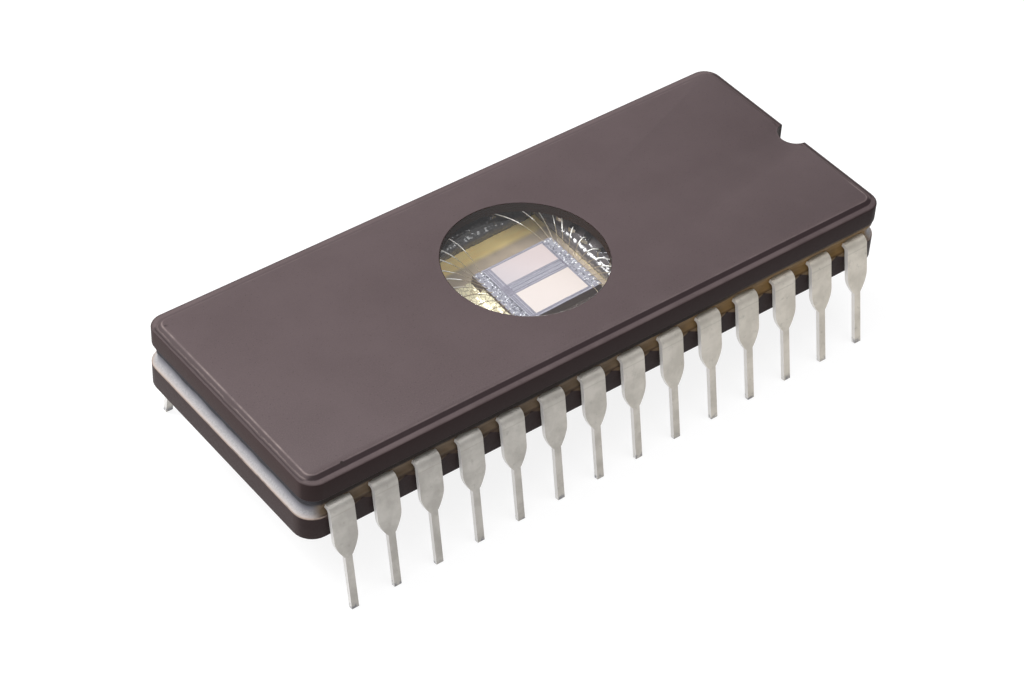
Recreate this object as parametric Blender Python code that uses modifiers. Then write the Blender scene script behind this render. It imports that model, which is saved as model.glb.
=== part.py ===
"""Windowed ceramic memory chip in a 28-lead dual in-line package.

Metres, +Z up. The origin is at the middle of the package, on the plane that the
lead tips stand on. +X runs along the package towards its notched end.
"""

from math import cos, pi, radians, sin, tan

import bmesh
import bpy
from mathutils import Matrix, Vector

# Lead rows
LEADS_PER_ROW = 14
LEAD_PITCH = 0.00254
LEAD_THICKNESS = 0.00025
LEAD_WIDE_WIDTH = 0.00138
LEG_WIDTH = 0.00042
LEG_LENGTH = 0.00324
SHOULDER_WIDTH = 0.00050
SHOULDER_DROP = 0.00002
TAPER_LENGTH = 0.00111
TAPER_POWER = 1.7
LEAD_SPLAY = radians(10.4)
BEND_INNER_RADIUS = 0.00017
BEND_RUN = 0.00007

# Ceramic base and lid
END_MARGIN = 0.00194
BASE_THICKNESS = 0.00142
BASE_CORNER_RADIUS = 0.0011
LID_CORNER_RADIUS = 0.00095
STANDOFF = 0.00438
LID_END_SETBACK = 0.00013
LID_SIDE_SETBACK = 0.0
LID_RIM_THICKNESS = 0.00109
EDGE_ROUND = 0.00008
EDGE_CHAMFER = 0.00004
LEDGE_END = 0.00025
LEDGE_SIDE = 0.00034
SLOPE_END = 0.00024
SLOPE_SIDE = 0.00027
PLATEAU_HEIGHT = 0.000155
NOTCH_RADIUS = 0.00093
NOTCH_DEPTH = 0.00088

# Sealing glass
SEAL_WIDTH = 0.00137
LOWER_GLASS = 0.00028
UPPER_GLASS = 0.00061
SEAL_GROOVE = 0.00024
SEAL_LIP = 0.00044
SEAL_LIP_CURVE = 0.00021
SEAL_FLARE = 0.00026
CAVITY_SHELF = 0.00115
SHELF_SETBACK = 0.00006

# Window, die and bonding
WINDOW_DIAMETER = 0.0088
WINDOW_RECESS = 0.00002
WINDOW_ROUND = 0.00006
WINDOW_ROUND_ANGLE = radians(60)
DIE_LENGTH = 0.0049
DIE_WIDTH = 0.00407
DIE_THICKNESS = 0.00043
DIE_NEAR_GAP = 0.00073
DIE_FAR_GAP = 0.00233
DIE_SIDE_GAP = 0.00232
CAVITY_DEPTH = 0.00042
CAVITY_CORNER_RADIUS = 0.00035
GOLD_THICKNESS = 0.00002
ATTACH_THICKNESS = 0.00003
ATTACH_MARGIN = 0.00012
ATTACH_SPILL = 0.00105
ATTACH_RIPPLE = 0.02
ATTACH_RIPPLE_TURN = 1.9
END_WALL_TIPS = 4
SIDE_TIP_START = 0.6
TIP_SETBACK = 0.00018
TIP_PITCH = 0.0010
TIP_WIDTH = 0.00038
KNEE_WIDTH = 0.00066
KNEE_DEPTH = 0.00115
NECK_DEPTH = 0.00038
END_PADS = 6
PAD_INSET = 0.00013
CORNER_PAD_STEP = 0.00035
WIRE_DIAMETER = 0.000033
WIRE_ARCH = 0.00024
WIRE_FOOT = 0.00014
STITCH_INSET = 0.00020
STITCH_DEPTH = 0.00006

# Thin gap left between pieces that are fused or bonded face to face
JOINT_GAP = 0.000005
SLOT_CLEARANCE = 0.00001

# Facets
CORNER_STEPS = 8
ROUND_STEPS = 2
SEAL_STEPS = 4
NOTCH_STEPS = 32
BEND_STEPS = 5
TAPER_STEPS = 6
WINDOW_STEPS = 72
WIRE_STEPS = 8
SHARP_ANGLE = radians(35)

# Places worked out from the sizes above
CAVITY_HALF_X = (DIE_LENGTH + DIE_NEAR_GAP + DIE_FAR_GAP) / 2
CAVITY_HALF_Y = DIE_WIDTH / 2 + DIE_SIDE_GAP
SHELF_HALF_X = CAVITY_HALF_X + SHELF_SETBACK + CAVITY_SHELF
SHELF_HALF_Y = CAVITY_HALF_Y + SHELF_SETBACK + CAVITY_SHELF
BASE_HALF_X = (LEADS_PER_ROW - 1) * LEAD_PITCH / 2 + END_MARGIN
BASE_HALF_Y = SHELF_HALF_Y + SEAL_WIDTH + SEAL_GROOVE
BASE_TOP = STANDOFF + BASE_THICKNESS
LEAD_UNDER = BASE_TOP + LOWER_GLASS
LEAD_TOP = LEAD_UNDER + LEAD_THICKNESS
LID_BOTTOM = LEAD_TOP + UPPER_GLASS
LEDGE_Z = LID_BOTTOM + LID_RIM_THICKNESS
PLATEAU_Z = LEDGE_Z + PLATEAU_HEIGHT
LID_HALF_X = BASE_HALF_X - LID_END_SETBACK
LID_HALF_Y = BASE_HALF_Y - LID_SIDE_SETBACK
CAVITY_FLOOR = BASE_TOP - CAVITY_DEPTH
DIE_X = CAVITY_HALF_X - DIE_NEAR_GAP - DIE_LENGTH / 2
DIE_BOTTOM = CAVITY_FLOOR + GOLD_THICKNESS + ATTACH_THICKNESS + 3 * JOINT_GAP
DIE_TOP = DIE_BOTTOM + DIE_THICKNESS
GROOVE_HALF_Y = BASE_HALF_Y - SEAL_GROOVE - JOINT_GAP
BEND_START_Y = GROOVE_HALF_Y + BEND_RUN
BEND_RADIUS = BEND_INNER_RADIUS + LEAD_THICKNESS
BEND_TURN = pi / 2 - LEAD_SPLAY
BEND_ARC = BEND_RADIUS * BEND_TURN
LEG_DROP = LEAD_TOP - LEAD_THICKNESS * sin(LEAD_SPLAY)
LEG_RUN = LEG_DROP / cos(LEAD_SPLAY) - BEND_RADIUS * tan(BEND_TURN / 2)
LEAD_END_Y = BEND_START_Y + BEND_ARC + LEG_RUN
SHOULDER_Y = LEAD_END_Y - LEG_LENGTH
TAPER_START_Y = SHOULDER_Y - TAPER_LENGTH

# A flat fill joins points closer than 0.03 mm, so outlines are filled at this scale
FILL_SCALE = 1000.0
FILL_WELD = 0.0001
FILL_STRAIGHT = radians(0.05)
BEND_CUT_MERGE = 1e-8


def clear_scene():
    for obj in list(bpy.data.objects):
        bpy.data.objects.remove(obj, do_unlink=True)
    for collection in list(bpy.data.collections):
        bpy.data.collections.remove(collection)


def new_collection(name):
    collection = bpy.data.collections.new(name)
    bpy.context.scene.collection.children.link(collection)
    return collection


def principled(name, color, roughness, metallic=0.0, alpha=1.0):
    material = bpy.data.materials.new(name)
    material.use_nodes = True
    shader = material.node_tree.nodes["Principled BSDF"]
    shader.inputs["Base Color"].default_value = (*color, 1.0)
    shader.inputs["Roughness"].default_value = roughness
    shader.inputs["Metallic"].default_value = metallic
    shader.inputs["Alpha"].default_value = alpha
    return material


def object_from_bmesh(name, bm, material, collection):
    bmesh.ops.recalc_face_normals(bm, faces=bm.faces)
    mesh = bpy.data.meshes.new(name)
    bm.to_mesh(mesh)
    bm.free()
    mesh.shade_smooth()
    mesh.set_sharp_from_angle(angle=SHARP_ANGLE)
    obj = bpy.data.objects.new(name, mesh)
    if material:
        mesh.materials.append(material)
    collection.objects.link(obj)
    return obj


def object_from_primitive(name, matrix, material, collection, cylinder=None):
    """A cube, or a cylinder with the stated number of sides, of unit size before its matrix."""
    bm = bmesh.new()
    if cylinder:
        bmesh.ops.create_cone(bm, cap_ends=True, segments=cylinder, radius1=1, radius2=1, depth=1)
    else:
        bmesh.ops.create_cube(bm, size=1)
    bmesh.ops.transform(bm, matrix=matrix, verts=bm.verts)
    return object_from_bmesh(name, bm, material, collection)


def box_matrix(center, size):
    return Matrix.Translation(center) @ Matrix.Diagonal((*size, 1))


def span_matrix(x, y, radius, z_low, z_high):
    """Places a unit cylinder of height 1 upright between two levels."""
    center = (x, y, (z_low + z_high) / 2)
    return box_matrix(center, (radius, radius, z_high - z_low))


def as_cutter(obj):
    obj.hide_render = True
    obj.display_type = "WIRE"
    return obj


def boolean(obj, operand, operation):
    modifier = obj.modifiers.new(operand.name, "BOOLEAN")
    modifier.operation = operation
    modifier.solver = "EXACT"
    modifier.object = as_cutter(operand)


def rounded_rectangle(half_x, half_y, radius):
    """Corner arcs in order, anticlockwise from the +X, +Y corner."""
    points = []
    corners = ((1, 1, 0), (-1, 1, 90), (-1, -1, 180), (1, -1, 270))
    for sign_x, sign_y, start in corners:
        for step in range(CORNER_STEPS + 1):
            angle = radians(start + 90 * step / CORNER_STEPS)
            x = sign_x * (half_x - radius) + radius * cos(angle)
            y = sign_y * (half_y - radius) + radius * sin(angle)
            points.append((x, y))
    return points


def lofted(sections):
    """Closed solid through level rounded rectangles: (z, half_x, half_y, radius)."""
    bm = bmesh.new()
    rings = []
    for z, half_x, half_y, radius in sections:
        outline = rounded_rectangle(half_x, half_y, radius)
        rings.append([bm.verts.new((x, y, z)) for x, y in outline])
    for lower, upper in zip(rings, rings[1:]):
        for i in range(len(lower)):
            j = (i + 1) % len(lower)
            bm.faces.new((lower[i], lower[j], upper[j], upper[i]))
    bm.faces.new(reversed(rings[0]))
    bm.faces.new(rings[-1])
    return bm


def extruded_outline(outline, z_low, z_high, scratch):
    """Fills a flat outline, gives it thickness, and returns it as a closed bmesh."""
    curve = bpy.data.curves.new("outline", "CURVE")
    curve.dimensions = "2D"
    curve.fill_mode = "BOTH"
    curve.extrude = (z_high - z_low) * FILL_SCALE / 2
    spline = curve.splines.new("POLY")
    spline.points.add(len(outline) - 1)
    for point, (x, y) in zip(spline.points, outline):
        point.co = (x * FILL_SCALE, y * FILL_SCALE, 0, 1)
    spline.use_cyclic_u = True
    bm = bmesh_from_curve(curve, scratch)
    bmesh.ops.dissolve_limit(bm, angle_limit=FILL_STRAIGHT, verts=bm.verts, edges=bm.edges)
    to_metres = Matrix.Translation((0, 0, (z_low + z_high) / 2)) @ Matrix.Scale(1 / FILL_SCALE, 4)
    bmesh.ops.transform(bm, matrix=to_metres, verts=bm.verts)
    return bm


def bmesh_from_curve(curve, scratch):
    """Evaluates a curve drawn at the fill scale and welds its caps."""
    holder = bpy.data.objects.new("outline", curve)
    scratch.objects.link(holder)
    evaluated = holder.evaluated_get(bpy.context.evaluated_depsgraph_get())
    mesh = bpy.data.meshes.new_from_object(evaluated)
    bm = bmesh.new()
    bm.from_mesh(mesh)
    bmesh.ops.remove_doubles(bm, verts=bm.verts, dist=FILL_WELD)
    bpy.data.objects.remove(holder)
    bpy.data.curves.remove(curve)
    bpy.data.meshes.remove(mesh)
    return bm


def rounded_edge(face_z, wall_side):
    """Levels and insets of a rounded edge from its wall to its face; wall_side is -1 below the face."""
    levels = []
    for step in range(ROUND_STEPS + 1):
        angle = pi / 2 * step / ROUND_STEPS
        z = face_z + wall_side * EDGE_ROUND * (1 - sin(angle))
        levels.append((z, EDGE_ROUND * (1 - cos(angle))))
    return levels


def make_base(parts, cutters, material):
    chamfer = [(BASE_TOP - EDGE_CHAMFER, 0), (BASE_TOP, EDGE_CHAMFER)]
    sections = []
    for z, inset in rounded_edge(STANDOFF, 1)[::-1] + chamfer:
        sections.append((z, BASE_HALF_X - inset, BASE_HALF_Y - inset, BASE_CORNER_RADIUS - inset))
    base = object_from_bmesh("ceramic_base", lofted(sections), material, parts)
    pocket = lofted((
        (CAVITY_FLOOR, CAVITY_HALF_X, CAVITY_HALF_Y, CAVITY_CORNER_RADIUS),
        (BASE_TOP + CAVITY_DEPTH, CAVITY_HALF_X, CAVITY_HALF_Y, CAVITY_CORNER_RADIUS),
    ))
    boolean(base, object_from_bmesh("die_cavity_cut", pocket, None, cutters), "DIFFERENCE")


def make_lid(parts, cutters, material):
    chamfer = [(LID_BOTTOM, EDGE_CHAMFER), (LID_BOTTOM + EDGE_CHAMFER, 0)]
    levels = [(z, inset, inset) for z, inset in chamfer + rounded_edge(LEDGE_Z, -1)]
    levels.append((LEDGE_Z, LEDGE_END, LEDGE_SIDE))
    levels.append((PLATEAU_Z, LEDGE_END + SLOPE_END, LEDGE_SIDE + SLOPE_SIDE))
    sections = []
    for z, inset_end, inset_side in levels:
        radius = LID_CORNER_RADIUS - min(inset_end, inset_side)
        sections.append((z, LID_HALF_X - inset_end, LID_HALF_Y - inset_side, radius))
    lid = object_from_bmesh("ceramic_lid", lofted(sections), material, parts)
    reach = LID_RIM_THICKNESS
    hole = span_matrix(0, 0, WINDOW_DIAMETER / 2, LID_BOTTOM - reach, PLATEAU_Z + reach)
    notch_x = LID_HALF_X - NOTCH_DEPTH + NOTCH_RADIUS
    notch = span_matrix(notch_x, 0, NOTCH_RADIUS, LID_BOTTOM - reach, PLATEAU_Z + reach)
    boolean(lid, object_from_primitive("window_cut", hole, None, cutters, WINDOW_STEPS), "DIFFERENCE")
    boolean(lid, object_from_primitive("notch_cut", notch, None, cutters, NOTCH_STEPS), "DIFFERENCE")


def make_window(parts, material):
    top = PLATEAU_Z - WINDOW_RECESS
    radius = WINDOW_DIAMETER / 2 - SLOT_CLEARANCE
    matrix = span_matrix(0, 0, radius, LID_BOTTOM, top)
    window = object_from_primitive("uv_window", matrix, material, parts, WINDOW_STEPS)
    bevel = window.modifiers.new("rim_round", "BEVEL")
    bevel.width = WINDOW_ROUND
    bevel.segments = ROUND_STEPS
    bevel.limit_method = "ANGLE"
    bevel.angle_limit = WINDOW_ROUND_ANGLE


def seal_sections():
    """The glass flares out onto the base, is drawn in round the leads and meets the lid."""
    bottom = BASE_TOP + JOINT_GAP
    top = LID_BOTTOM - JOINT_GAP
    foot = Vector((BASE_HALF_X - EDGE_CHAMFER, BASE_HALF_Y - EDGE_CHAMFER, BASE_CORNER_RADIUS))
    waist = Vector((BASE_HALF_X - SEAL_GROOVE - LID_END_SETBACK, GROOVE_HALF_Y, BASE_CORNER_RADIUS))
    head = Vector((LID_HALF_X - EDGE_CHAMFER, LID_HALF_Y - EDGE_CHAMFER, LID_CORNER_RADIUS))
    flare = []
    lip = []
    for step in range(SEAL_STEPS + 1):
        angle = pi / 2 * step / SEAL_STEPS
        rise = 1 - cos(angle)
        flare.append((bottom + SEAL_FLARE * rise, *foot.lerp(waist, sin(angle))))
        lip.append((top - SEAL_LIP + SEAL_LIP_CURVE * rise, *waist.lerp(head, sin(angle))))
    return flare + lip + [(top, *head)]


def make_seal(parts, cutters, material, plans):
    seal = object_from_bmesh("sealing_glass", lofted(seal_sections()), material, parts)
    lower_x = CAVITY_HALF_X + SHELF_SETBACK
    lower_y = CAVITY_HALF_Y + SHELF_SETBACK
    radius = CAVITY_CORNER_RADIUS
    upper = lofted((
        (LEAD_UNDER, SHELF_HALF_X, SHELF_HALF_Y, radius),
        (LID_BOTTOM + UPPER_GLASS, SHELF_HALF_X, SHELF_HALF_Y, radius),
    ))
    lower = lofted((
        (BASE_TOP - LOWER_GLASS, lower_x, lower_y, radius),
        (LEAD_UNDER + UPPER_GLASS, lower_x, lower_y, radius),
    ))
    boolean(seal, object_from_bmesh("upper_opening_cut", upper, None, cutters), "DIFFERENCE")
    boolean(seal, object_from_bmesh("lower_opening_cut", lower, None, cutters), "DIFFERENCE")
    slots = bmesh.new()
    for plan in plans:
        for sign_y in (1, -1):
            outline = blank_outline(plan, SLOT_CLEARANCE)
            low = LEAD_UNDER - SLOT_CLEARANCE
            high = LEAD_TOP + SLOT_CLEARANCE
            slot = extruded_outline([(x, y * sign_y) for x, y in outline], low, high, cutters)
            bmesh.ops.recalc_face_normals(slot, faces=slot.faces)
            mesh = bpy.data.meshes.new("slot")
            slot.to_mesh(mesh)
            slot.free()
            slots.from_mesh(mesh)
            bpy.data.meshes.remove(mesh)
    boolean(seal, object_from_bmesh("lead_slots_cut", slots, None, cutters), "DIFFERENCE")


def make_cavity_gold(parts, material):
    low = CAVITY_FLOOR + JOINT_GAP
    inset = SLOT_CLEARANCE
    ring = (CAVITY_HALF_X - inset, CAVITY_HALF_Y - inset, CAVITY_CORNER_RADIUS)
    bm = lofted(((low, *ring), (low + GOLD_THICKNESS, *ring)))
    object_from_bmesh("cavity_gold", bm, material, parts)


def make_die_attach(parts, material, scratch):
    """Solder spread under the die, with a wavy edge and a spill past the die's -X end."""
    low_x = DIE_X - DIE_LENGTH / 2 - ATTACH_SPILL
    high_x = DIE_X + DIE_LENGTH / 2 + ATTACH_MARGIN
    half_x = (high_x - low_x) / 2
    half_y = DIE_WIDTH / 2 + ATTACH_MARGIN
    outline = []
    for index, (x, y) in enumerate(rounded_rectangle(half_x, half_y, ATTACH_SPILL / 2)):
        ripple = 1 - ATTACH_RIPPLE * (1 + sin(index * ATTACH_RIPPLE_TURN)) * (x < 0)
        outline.append((x * ripple + (low_x + high_x) / 2, y * ripple))
    low = CAVITY_FLOOR + GOLD_THICKNESS + 2 * JOINT_GAP
    bm = extruded_outline(outline, low, low + ATTACH_THICKNESS, scratch)
    object_from_bmesh("die_attach", bm, material, parts)


def make_die(parts, material):
    center = (DIE_X, 0, (DIE_BOTTOM + DIE_TOP) / 2)
    matrix = box_matrix(center, (DIE_LENGTH, DIE_WIDTH, DIE_THICKNESS))
    object_from_primitive("memory_die", matrix, material, parts)


def finger_tip(order):
    """Tip of an inner finger, with the lead nearest the package's end first."""
    rim_x = CAVITY_HALF_X + TIP_SETBACK
    rim_y = CAVITY_HALF_Y + TIP_SETBACK
    if order < END_WALL_TIPS:
        return (rim_x, TIP_PITCH * (order + 0.5))
    return (rim_x - TIP_PITCH * (order - END_WALL_TIPS + SIDE_TIP_START), rim_y)


def bond_pad(order, end):
    """Pad on the die's top that a lead is bonded to; end is 1 at +X and -1 at -X."""
    reach = DIE_LENGTH / 2 - PAD_INSET
    top = DIE_WIDTH / 2 - PAD_INSET
    if order < END_PADS:
        return (DIE_X + end * reach, top * (order + 0.5) / (END_PADS - 0.5))
    return (DIE_X + end * (reach - CORNER_PAD_STEP), top)


def lead_plans():
    """One plan for each lead of the +Y row, from the notched end: exit, tip and pad."""
    half_row = LEADS_PER_ROW // 2
    plans = []
    for index in range(LEADS_PER_ROW):
        end = 1 if index < half_row else -1
        order = index if index < half_row else LEADS_PER_ROW - 1 - index
        x = LEAD_PITCH * ((LEADS_PER_ROW - 1) / 2 - index)
        tip_x, tip_y = finger_tip(order)
        plans.append({
            "x": x,
            "tip": Vector((end * tip_x, tip_y)),
            "pad": Vector(bond_pad(order, end)),
        })
    return plans


def blank_outline(plan, grow):
    """Flat stamped lead before its bend, as (x, y); grow widens it all round."""
    x = plan["x"]
    wide = LEAD_WIDE_WIDTH / 2 + grow
    knee_y = BEND_START_Y - KNEE_DEPTH
    neck_y = BEND_START_Y - NECK_DEPTH
    outer = [(wide, TAPER_START_Y)]
    for step in range(1, TAPER_STEPS + 1):
        share = step / TAPER_STEPS
        shoulder = SHOULDER_WIDTH / 2 + grow
        half = shoulder + (wide - shoulder) * (1 - share ** TAPER_POWER)
        outer.append((half, TAPER_START_Y + TAPER_LENGTH * share))
    leg = LEG_WIDTH / 2 + grow
    outer.append((leg, SHOULDER_Y + SHOULDER_DROP))
    outer.append((leg, LEAD_END_Y + grow))
    right = [(x + half, y) for half, y in outer]
    left = [(x - half, y) for half, y in reversed(outer)]

    knee = Vector((x, knee_y))
    toward = (plan["tip"] - knee).normalized()
    across = Vector((toward.y, -toward.x))
    miter = (across + Vector((-1, 0))).normalized()
    reach = (KNEE_WIDTH / 2 + grow) / abs(miter.dot(across))
    tip = plan["tip"] + toward * grow
    half_tip = TIP_WIDTH / 2 + grow
    inner = [
        (x - wide, neck_y - grow),
        tuple(knee + miter * reach),
        tuple(tip + across * half_tip),
        tuple(tip - across * half_tip),
        tuple(knee - miter * reach),
        (x + wide, neck_y - grow),
    ]
    return right + left + inner


def form_lead(bm):
    """Bends the flat lead down round its bend radius and splays its leg."""
    for step in range(BEND_STEPS + 1):
        cut_y = BEND_START_Y + BEND_ARC * step / BEND_STEPS
        geometry = bm.verts[:] + bm.edges[:] + bm.faces[:]
        bmesh.ops.bisect_plane(bm, geom=geometry, plane_co=(0, cut_y, 0), plane_no=(0, 1, 0),
                               dist=BEND_CUT_MERGE)
    for vert in bm.verts:
        along = vert.co.y - BEND_START_Y
        if along <= 0:
            continue
        depth = vert.co.z - LEAD_TOP
        turn = min(along / BEND_RADIUS, BEND_TURN)
        straight = max(along - BEND_ARC, 0)
        radius = BEND_RADIUS + depth
        vert.co.y = BEND_START_Y + radius * sin(turn) + straight * cos(turn)
        vert.co.z = LEAD_TOP - BEND_RADIUS + radius * cos(turn) - straight * sin(turn)


def wire_bmesh(plan, scratch):
    """Bonding wire: up from the finger's stitch, over in an arch and down to a foot on the pad."""
    knee = Vector((plan["x"], BEND_START_Y - KNEE_DEPTH))
    back = (knee - plan["tip"]).normalized()
    stitch = plan["tip"] + back * STITCH_INSET
    pad = plan["pad"]
    toward_finger = (stitch - pad).normalized()
    heel = pad + toward_finger * WIRE_FOOT
    foot_z = DIE_TOP + WIRE_DIAMETER / 2 + JOINT_GAP
    rise_z = LEAD_TOP + WIRE_DIAMETER
    points = [
        (*stitch, LEAD_TOP - STITCH_DEPTH),
        (*stitch, rise_z),
    ]
    for step in range(1, WIRE_STEPS):
        share = step / WIRE_STEPS
        flat = stitch.lerp(heel, share)
        z = rise_z + (foot_z - rise_z) * share ** 2 + WIRE_ARCH * 4 * share * (1 - share)
        points.append((*flat, z))
    points.append((*heel, foot_z))
    points.append((*pad, foot_z))
    curve = bpy.data.curves.new("wire", "CURVE")
    curve.dimensions = "3D"
    curve.bevel_depth = WIRE_DIAMETER / 2 * FILL_SCALE
    curve.bevel_resolution = 1
    curve.use_fill_caps = True
    spline = curve.splines.new("POLY")
    spline.points.add(len(points) - 1)
    for point, co in zip(spline.points, points):
        point.co = (*(Vector(co) * FILL_SCALE), 1)
    bm = bmesh_from_curve(curve, scratch)
    bmesh.ops.transform(bm, matrix=Matrix.Scale(1 / FILL_SCALE, 4), verts=bm.verts)
    return bm


def make_leads(parts, cutters, material, plans):
    """Leads are numbered round the package from the notched end of the +Y row."""
    for index, plan in enumerate(plans):
        for sign_y in (1, -1):
            number = index + 1 if sign_y > 0 else 2 * LEADS_PER_ROW - index
            mirror = Matrix.Scale(sign_y, 4, (0, 1, 0))
            blank = extruded_outline(blank_outline(plan, 0), LEAD_UNDER, LEAD_TOP, cutters)
            form_lead(blank)
            bmesh.ops.transform(blank, matrix=mirror, verts=blank.verts)
            lead = object_from_bmesh(f"lead_{number:02d}", blank, material, parts)
            wire = wire_bmesh(plan, cutters)
            bmesh.ops.transform(wire, matrix=mirror, verts=wire.verts)
            wire_object = object_from_bmesh(f"bond_wire_{number:02d}", wire, None, cutters)
            boolean(lead, wire_object, "UNION")


def main():
    clear_scene()
    parts = new_collection("windowed_memory_chip")
    cutters = new_collection("cutters")
    ceramic = principled("brown_ceramic", (0.150, 0.120, 0.122), 0.55)
    glass = principled("sealing_glass", (0.30, 0.25, 0.20), 0.28)
    clear = principled("window_glass", (0.80, 0.84, 0.82), 0.05, alpha=0.25)
    gold = principled("gold", (0.80, 0.60, 0.28), 0.30, 1.0)
    silicon = principled("die_face", (0.52, 0.47, 0.52), 0.22, 0.2)
    plated = principled("tinned_lead", (0.66, 0.64, 0.60), 0.38, 1.0)

    plans = lead_plans()
    make_base(parts, cutters, ceramic)
    make_lid(parts, cutters, ceramic)
    make_window(parts, clear)
    make_seal(parts, cutters, glass, plans)
    make_cavity_gold(parts, gold)
    make_die_attach(parts, gold, cutters)
    make_die(parts, silicon)
    make_leads(parts, cutters, plated, plans)


main()
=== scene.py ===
"""Looks of the windowed ceramic memory chip: finishes, fired glass, die face, floor, light and camera.

Metres, in the frame of the CAD solids, with +X towards the notched end.
"""

import random
from math import cos, pi, radians, sin

import bmesh
import bpy
from mathutils import Matrix, Vector, noise


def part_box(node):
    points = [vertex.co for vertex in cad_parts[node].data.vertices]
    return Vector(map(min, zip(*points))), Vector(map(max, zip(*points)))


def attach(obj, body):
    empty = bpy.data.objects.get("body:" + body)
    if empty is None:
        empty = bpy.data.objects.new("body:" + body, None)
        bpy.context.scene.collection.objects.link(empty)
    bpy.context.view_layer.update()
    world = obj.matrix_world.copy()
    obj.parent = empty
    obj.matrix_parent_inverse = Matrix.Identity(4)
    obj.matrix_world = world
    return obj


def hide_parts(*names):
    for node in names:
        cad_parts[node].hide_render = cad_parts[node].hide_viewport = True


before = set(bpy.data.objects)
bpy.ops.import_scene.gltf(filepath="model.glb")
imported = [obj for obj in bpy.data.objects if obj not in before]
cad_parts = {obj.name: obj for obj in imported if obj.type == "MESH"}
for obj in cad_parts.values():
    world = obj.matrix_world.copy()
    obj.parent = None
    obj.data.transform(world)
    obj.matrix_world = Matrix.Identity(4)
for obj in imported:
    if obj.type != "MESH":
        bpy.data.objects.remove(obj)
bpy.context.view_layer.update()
MM = 0.001
SMOOTH_ANGLE = radians(40)

# Camera, from a fit to the photograph's lead tips and body edges: turns in degrees, lens and sensor in millimetres
CAMERA_PLACE = (-0.06915, -0.08307, 0.10213)
CAMERA_TURN = (47.2385, -2.2761, -37.4282)
CAMERA_LENS = 98.82
SENSOR_WIDTH = 36

# Places read from the frame
BASE_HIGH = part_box("ceramic_base")[1]
LID_LOW, LID_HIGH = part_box("ceramic_lid")
GOLD_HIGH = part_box("cavity_gold")[1]
DIE_LOW, DIE_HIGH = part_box("memory_die")
SOLDER_LOW, SOLDER_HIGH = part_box("die_attach")
PANE_LOW, PANE_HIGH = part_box("uv_window")
LEADS = sorted(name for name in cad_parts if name.startswith("lead_"))

# Lid and base edges, as in the CAD
LEDGE_END = 0.25 * MM
LEDGE_SIDE = 0.34 * MM
SLOPE_END = 0.24 * MM
SLOPE_SIDE = 0.27 * MM
PLATEAU_X = LID_HIGH[0] - LEDGE_END - SLOPE_END
PLATEAU_Y = LID_HIGH[1] - LEDGE_SIDE - SLOPE_SIDE
PLATEAU_CORNER = 0.46 * MM
LEDGE_Z = LID_HIGH[2] - 0.155 * MM
NOTCH_RADIUS = 0.93 * MM
NOTCH_DEPTH = 0.88 * MM
EDGE_CHAMFER = 0.04 * MM
BASE_CORNER = 1.1 * MM
LID_CORNER = 0.95 * MM

# Fired glass and leads, as in the CAD
CAVITY_CORNER = 0.35 * MM
SHELF_SETBACK = 0.06 * MM
CAVITY_SHELF = 1.15 * MM
JOINT_GAP = 0.005 * MM
LEAD_PITCH = 2.54 * MM
LEAD_HALF_WIDTH = 0.69 * MM
LEAD_TOP = BASE_HIGH[2] + 0.53 * MM
LEAD_BEND_Z = 5.82 * MM

# Softened edges: bevel widths, and the distance from the middle in Y past which a lead's sharp edges get one
LID_ROUND = 0.05 * MM
BASE_ROUND = 0.022 * MM
LEAD_ROUND = 0.028 * MM
LEADS_ROUND_FROM_Y = 5.9 * MM

# Steps round the fired glass: along X, along Y, and round each corner
GLASS_STEPS = (330, 120, 12)

# Window's disc
PANE_SIDES = 128
PANE_CHAMFER = 0.03 * MM
PANE_POLISH = 0.02 * MM
PANE_POLISH_STEPS = 3

# Frozen solder: spacing of its points, its thinnest skin, and its height under the die
SOLDER_GRID = 0.035 * MM
SOLDER_SKIN = 0.004 * MM
SOLDER_UNDER_DIE = 0.02 * MM

# Die face, in millimetres from the die's middle: each cell array as left, right, front, back
DIE_X = (DIE_LOW[0] + DIE_HIGH[0]) / 2
DIE_HALF_X = (DIE_HIGH[0] - DIE_LOW[0]) / 2 / MM
DIE_HALF_Y = (DIE_HIGH[1] - DIE_LOW[1]) / 2 / MM
ARRAYS = ((-1.44, 1.76, 0.55, 1.89), (-1.44, 1.78, -1.82, -0.18))
ROW_PITCH = 0.055
PAD_INSET = 0.13
PAD_SIZE = 0.09
PAD_CLEARANCE = 0.13
END_PADS = 6
CORNER_PAD_STEP = 0.35
BORDER_INSET = 0.07
BORDER_WIDTH = 0.035
FILM = 0.003
CIRCUIT_SEED = 5

# The die's films, by their finish
DARK, MID, LIGHT, CELLS_BACK, CELLS_FRONT, METAL = range(6)

# Bus lines between the arrays, each as (share of the gap's depth, width, film)
BUS_LINES = ((0.12, 0.03, LIGHT), (0.26, 0.09, MID), (0.44, 0.025, LIGHT), (0.55, 0.12, MID), (0.76, 0.03, LIGHT),
             (0.88, 0.05, MID))
BUS_TAPS = 56

# Logic beside the arrays, towards -X and +X, each as (left, right, number of blocks)
LOGIC_STRIPS = ((-DIE_HALF_X + 0.10, ARRAYS[1][0] - 0.42, 380), (ARRAYS[1][1] + 0.09, DIE_HALF_X - 0.10, 250))
BLOCK_SIZES = ((0.09, 0.03), (0.03, 0.09), (0.05, 0.05), (0.11, 0.025), (0.025, 0.11))

# Floor, a hair below the lead tips
FLOOR_HALF = 2.0
FLOOR_Z = -0.00002


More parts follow.
